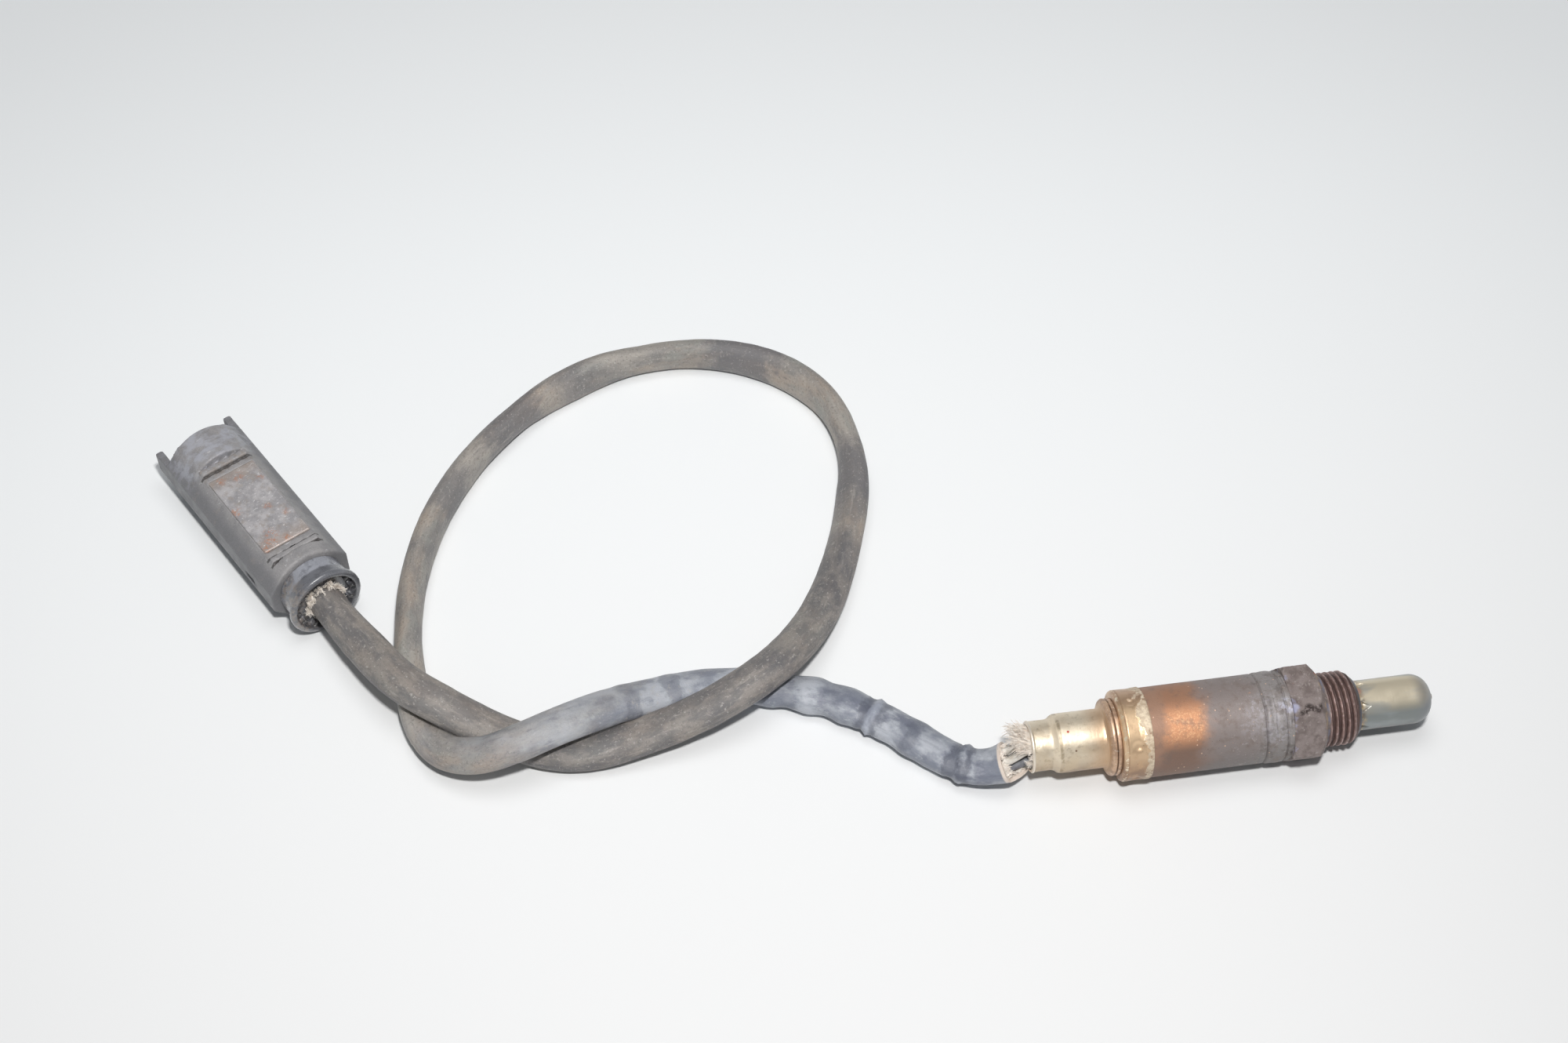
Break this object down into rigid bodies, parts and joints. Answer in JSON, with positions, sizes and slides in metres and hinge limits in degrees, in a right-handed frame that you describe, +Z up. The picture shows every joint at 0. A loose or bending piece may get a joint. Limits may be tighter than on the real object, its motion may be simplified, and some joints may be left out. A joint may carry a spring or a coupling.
{
  "type": "heated oxygen sensor",
  "caption": "Heated oxygen sensor for an exhaust: threaded hexagon shell, louvred probe tip, steel casing with crimped ring, and a knotted lead to a round plug connector.",
  "frame": {"origin": "on the sensor's axis, in the plane of the hexagon's front face, which seats on the exhaust boss", "axes": "+X along the sensor's axis to the probe's tip, +Z up from the surface it lies on, +Y to the side where the lead's loop lies"},
  "size_m": [0.3059, 0.1616, 0.022],
  "materials": {
    "plated_steel": "satin",
    "heat_tinted_steel": "satin",
    "sleeve_steel": "satin",
    "spring_steel": "satin",
    "bright_steel": "satin",
    "brass": "satin",
    "zirconia": "matte",
    "heater_ceramic": "matte",
    "white_ceramic": "matte",
    "talc": "matte",
    "seal_rubber": "matte",
    "glass_fibre": "matte",
    "lead_sleeve": "satin",
    "white_wire": "satin",
    "grey_wire": "satin",
    "black_wire": "satin",
    "black_plastic": "satin",
    "cap_plastic": "gloss",
    "tinned_pin": "satin"
  },
  "bodies": {
    "root": {"hex_shell": "plated_steel", "protection_tube": "heat_tinted_steel", "inner_protection_tube": "heat_tinted_steel", "sensing_element": "zirconia", "heater_rod": "heater_ceramic", "talc_seal": "talc", "support_bush": "white_ceramic", "retaining_ring": "plated_steel", "protective_sleeve": "sleeve_steel", "crimp_ring": "sleeve_steel", "clamp_washer": "sleeve_steel", "outlet_sleeve": "brass", "cable_grommet": "seal_rubber", "disc_spring": "spring_steel", "contact_holder": "white_ceramic", "outlet_braid": "glass_fibre", "cable_sleeve": "lead_sleeve", "connector_housing": "black_plastic", "connector_plate": "bright_steel", "rear_cap": "cap_plastic", "wire_seal": "seal_rubber", "terminal_block": "black_plastic", "connector_braid": "glass_fibre", "contact_clip_1": "spring_steel", "connector_pin_1": "tinned_pin", "contact_clip_2": "spring_steel", "connector_pin_2": "tinned_pin", "contact_clip_3": "spring_steel", "connector_pin_3": "tinned_pin", "contact_clip_4": "spring_steel", "connector_pin_4": "tinned_pin", "outlet_wire_1": "white_wire", "harness_wire_1": "white_wire", "outlet_wire_2": "white_wire", "harness_wire_2": "white_wire", "outlet_wire_3": "grey_wire", "harness_wire_3": "grey_wire", "outlet_wire_4": "black_wire", "harness_wire_4": "black_wire"}
  },
  "joints": []
}
